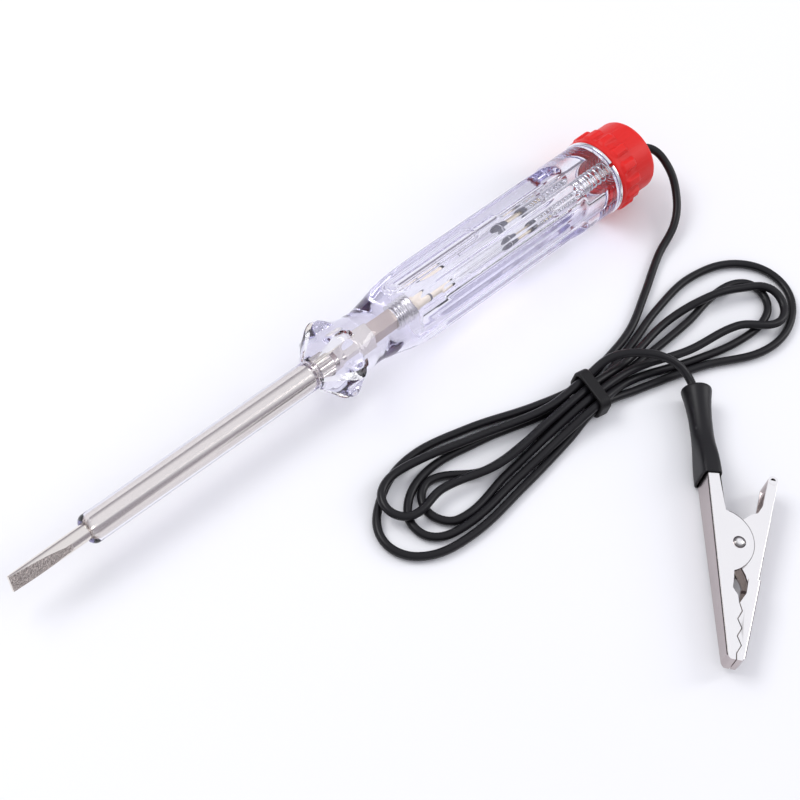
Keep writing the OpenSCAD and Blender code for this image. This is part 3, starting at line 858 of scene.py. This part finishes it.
def add_cap(material):
    """The red screw cap, hollow for the handle's neck, with a hole for the lead."""
    round_r = 1.3
    inside = [
        (CAP_END - 3.2, TERMINAL_R), (CAP_FLOOR, TERMINAL_R), (CAP_FLOOR, CAP_BORE_R),
        (CAP_FRONT + 0.4, CAP_BORE_R), (CAP_FRONT, CAP_MOUTH_R),
    ]
    rows = [(CAP_FRONT, RIM_R - 0.3), (CAP_FRONT + 0.1, RIM_R - 0.1), (CAP_FRONT + 0.3, RIM_R)]
    rows += [
        (x, lambda angle, x=x: cap_radius(x, angle))
        for x in stations(CAP_FRONT + 0.8, SKIRT_END, 0.15)
    ]
    rows.append((CAP_END - round_r, SMOOTH_R))
    for a in (15, 30, 45, 60, 75, 90):
        turn = math.radians(a)
        x = CAP_END - round_r * (1 - math.sin(turn))
        rows.append((x, SMOOTH_R - round_r * (1 - math.cos(turn))))
    rows += [(CAP_END, LEAD_HOLE_R + 0.4), (CAP_END - 0.4, LEAD_HOLE_R), (CAP_END - 3.2, LEAD_HOLE_R)]
    cap = lathe("screw_cap", rows + inside, 360, wrap=True)
    return dress(cap, "lead", "cap_plastic", material, "cap")


def add_ring(material):
    """The bright washer, with rounded edges and one split."""
    inner, outer, edge = 7.9, 9.45, 0.25
    half_gap = 0.45 / outer
    split_angle = math.radians(109)
    mid = (RING_FRONT + RING_BACK) / 2
    half = (RING_BACK - RING_FRONT) / 2
    section = []
    for cx, cr, start in (
        (half - edge, outer - edge, 0), (edge - half, outer - edge, 90),
        (edge - half, inner + edge, 180), (half - edge, inner + edge, 270),
    ):
        for a in (0, 30, 60, 90):
            turn = math.radians(start + a)
            section.append((cx + edge * math.cos(turn), cr + edge * math.sin(turn)))
    steps = 120
    points = []
    for i in range(steps + 1):
        angle = split_angle + half_gap + (TURN - 2 * half_gap) * i / steps
        points += [on_axis(mid + x, r, angle) for x, r in section]
    n = len(section)
    faces = ring_faces(steps + 1, n)
    faces += [tuple(range(n)), tuple(range(steps * n, (steps + 1) * n))]
    ring = mesh_piece("bright_washer", points, faces)
    return dress(ring, "ring", "ring_chrome", material, "split_ring")


# ---------------------------------------------------------------- lamp and springs

def add_springs(material):
    """The fine spring behind the pin and the wide one behind it."""
    for name, source, mean_r, wire_r, turns in (
        ("fine_spring", "contact_spring", 2, 0.23, 17),
        ("wide_spring", "lead_spring", 2.05, 0.28, 12),
    ):
        front, back = span(source)
        coil = helix(front + wire_r, back - wire_r, mean_r, turns)
        dress(tube(name, coil, wire_r, 10), "lead", "spring_steel", material, source)


# ---------------------------------------------------------------- shank, lamp and pin

def add_shank(material):
    """The rod with its ground blade and stepped tang, and the knurled zone in the guard."""
    shank = softened("probe_shank", "shank", 0.12)
    dress(shank, "handle", "nickel_steel", material, "shank")
    ridges, ridge_r, ridge_rise = 20, 2.12, 0.12

    def knurl_radius(angle):
        return ridge_r + ridge_rise * math.cos(ridges * angle)

    ridged = [(x, knurl_radius) for x in (-9.8, -7.5, -5.2)]
    knurl = lathe("shank_knurl", [(-10, 1.8), *ridged, (-5, 1.8)], 160)
    dress(knurl, "handle", "nickel_steel", material)


def add_lamp(mats):
    """The lamp's glass, and a dark seam round its ivory base."""
    front, back = span("lamp_glass")
    outer, inner, stem = 2.75, 2.4, 1.12
    rows = [
        (front, stem), (front + 0.05, 1.4), (front + 0.3, 1.8), (front + 0.9, 2.3),
        (front + 1.7, 2.62), (front + 2.6, outer), (back, outer), (back, inner),
        (front + 2.6, inner), (front + 1.7, 2.25), (front + 0.85, stem),
    ]
    glass = lathe("lamp_envelope", rows, 72, wrap=True, smooth_angle=50)
    dress(glass, "lamp", "lamp_glass", mats["lamp_glass"], "lamp_glass")
    seam_x, seam_r = 24.5, 1.48
    seam_rows = [
        (seam_x - 0.3, 1.3), (seam_x - 0.25, seam_r), (seam_x + 0.25, seam_r), (seam_x + 0.3, 1),
    ]
    dress(lathe("lamp_seam", seam_rows, 64), "lamp", "dark_plastic", mats["dark_plastic"])


def add_small_turnings(mats):
    """The plain turned parts, with their sharp edges taken off."""
    for name, body, slot, width in (
        ("front_contact", "handle", "contact_steel", 0.1),
        ("lamp_front_cap", "lamp", "ivory_plastic", 0.15),
        ("lamp_rear_cap", "lamp", "dark_plastic", 0.2),
        ("contact_pin", "pin", "brass", 0.12),
        ("pin_collar", "pin", "dark_plastic", 0.12),
    ):
        dress(softened(name + "_smooth", name, width), body, slot, mats[slot], name)


# ---------------------------------------------------------------- clip, boot and tie

IN_CLIP = Matrix.Translation(CLIP_PIVOT) @ Matrix.Rotation(CLIP_ANGLE, 4, "Z")
BOOT_MOUTH = (-16.5, -6.6, 0)
BOOT_TILT = math.radians(8.5)
IN_BOOT = (
    IN_CLIP @ Matrix.Translation(BOOT_MOUTH)
    @ Matrix.Rotation(BOOT_TILT, 4, "Z") @ Matrix.Rotation(math.radians(-90), 4, "Y")
)


def clip_half_width(x):
    """Half of the clip's width at a station along it: it narrows towards its tip."""
    tip_x, tip_w, tail_x, tail_w = 29, 4.6, -21, 7.4
    return (tip_w + (tail_w - tip_w) * (tip_x - x) / (tip_x - tail_x)) / 2


def add_ear_shadow_lines(material):
    """Painted shadow: a thin dark wire round each ear of the fixed jaw, standing in for the shade in the
    gap between the plates.
    """
    centre_x, centre_y, ear_r, line_r, steps = 0.3, -4.3, 7.8, 0.075, 60
    first, last = math.radians(168), math.radians(25)
    for name, side in (("clip_ear_shadow_line_top", 1), ("clip_ear_shadow_line_low", -1)):
        path = []
        for i in range(steps + 1):
            angle = first + (last - first) * i / steps
            x = centre_x + ear_r * math.cos(angle)
            y = centre_y + ear_r * math.sin(angle)
            path.append(IN_CLIP @ Vector((x, y, side * (clip_half_width(x) - 0.02))))
        dress(tube(name, path, line_r, 8), "lead", "clip_nickel", material)


def add_clip(mats):
    """The two sheet jaws with rounded bends, the domed rivet and the torsion spring."""
    fixed = bent_sheet("clip_fixed_plates", "clip_fixed_jaw")
    dress(fixed, "lead", "clip_nickel", mats["clip_nickel"], "clip_fixed_jaw")
    moving = bent_sheet("clip_moving_plates", "clip_moving_jaw")
    dress(moving, "jaw", "clip_nickel", mats["clip_nickel"], "clip_moving_jaw")
    low, high = span("clip_rivet", 2)
    top = (high - low) / 2
    dome = [
        (0, 0.1), (0.02, 0.4), (0.08, 0.72), (0.2, 1.02), (0.34, 1.22), (0.42, 1.42), (0.5, 1.5),
        (0.56, 1.5),
    ]
    rows = [(top - drop, r) for drop, r in dome] + [(top - 0.6, 1.15)]
    rows += [(-z, r) for z, r in reversed(rows)]
    rivet = loft("clip_rivet_domed", IN_CLIP, [oval(z, r, r, columns=48) for z, r in rows])
    dress(rivet, "lead", "clip_nickel", mats["clip_nickel"], "clip_rivet")
    # Thin dark wires round the ears: a painted shadow of the gap between the plates.
    add_ear_shadow_lines(mats["clip_painted_shadow_line"])
    add_clip_spring(mats["spring_steel"])


def add_clip_spring(material):
    """Torsion spring round the rivet, with one leg on each jaw."""
    radius, height, turns, steps, wire_r = 1.75, 2.8, 4.5, 28, 0.27
    path = [(-8, -5.95, -height / 2)]
    for i in range(round(turns * steps) + 1):
        angle = TURN * i / steps
        lift = height * i / (turns * steps) - height / 2
        path.append((radius * math.sin(angle), -radius * math.cos(angle), lift))
    path.append((-8, 6.5, height / 2))
    spring = tube("clip_spring_wire", [IN_CLIP @ Vector(p) for p in path], wire_r, 10)
    dress(spring, "lead", "spring_steel", material, "clip_spring")


def add_boot(material):
    """Soft boot: boxy where it covers the clip's tail, and a flared round tube behind."""
    tail_room = [(5, 3.75, 1.75, 8), (0.25, 3.75, 1.75, 8), (0.05, 3.82, 1.84, 7)]
    skin = [
        (0, 3.92, 2.26, 5), (0.12, 4.06, 2.4, 5), (0.5, 4.1, 2.45, 4.6), (3, 4.08, 2.45, 4.2),
        (5, 3.95, 2.46, 3.6), (7, 3.55, 2.5, 3), (9, 3.05, 2.58, 2.4), (11, 2.72, 2.64, 2.05),
        (13, 2.66, 2.65, 2), (16, 2.72, 2.72, 2), (19, 2.95, 2.95, 2), (21.2, 3.22, 3.22, 2),
        (22.8, 3.5, 3.5, 2), (23.5, 3.6, 3.6, 2), (23.85, 3.56, 3.56, 2), (24, 3.42, 3.42, 2),
    ]
    mouth = [
        (24, 3.1, 3.1, 2), (23.8, 2.92, 2.92, 2), (22.6, 2.6, 2.6, 2), (19, 2, 2, 2),
        (16, 1.75, 1.75, 2),
    ]
    boot = loft("boot_skin", IN_BOOT, [oval(*ring) for ring in tail_room + skin + mouth], smooth_angle=45)
    dress(boot, "lead", "boot_rubber", material, "clip_boot")


def add_tie(material):
    """The flat rubber band round the hank, with soft edges."""
    tie = softened("rubber_tie", "cord_tie", 0.4, 4)
    dress(tie, "lead", "tie_rubber", material, "cord_tie")


# ---------------------------------------------------------------- scene

add_camera()
MATERIALS = make_materials()
add_lights()
set_light_paths()
add_floor()
lead = add_lead(MATERIALS["lead_rubber"])
add_shank(MATERIALS["nickel_steel"])
add_lamp(MATERIALS)
add_small_turnings(MATERIALS)
add_clip(MATERIALS)
add_boot(MATERIALS["boot_rubber"])
add_tie(MATERIALS["tie_rubber"])
add_handle(MATERIALS["clear_plastic"])
add_sleeve(MATERIALS["sleeve_plastic"])
add_cap(MATERIALS["cap_plastic"])
add_ring(MATERIALS["ring_chrome"])
add_springs(MATERIALS["spring_steel"])

record_slots = {s["node"]: s["material_slot"] for s in frame["record"]["subparts"]}
for name, cad in frame["nodes"].items():
    cad.data.materials.clear()
    cad.data.materials.append(MATERIALS[record_slots[name]])
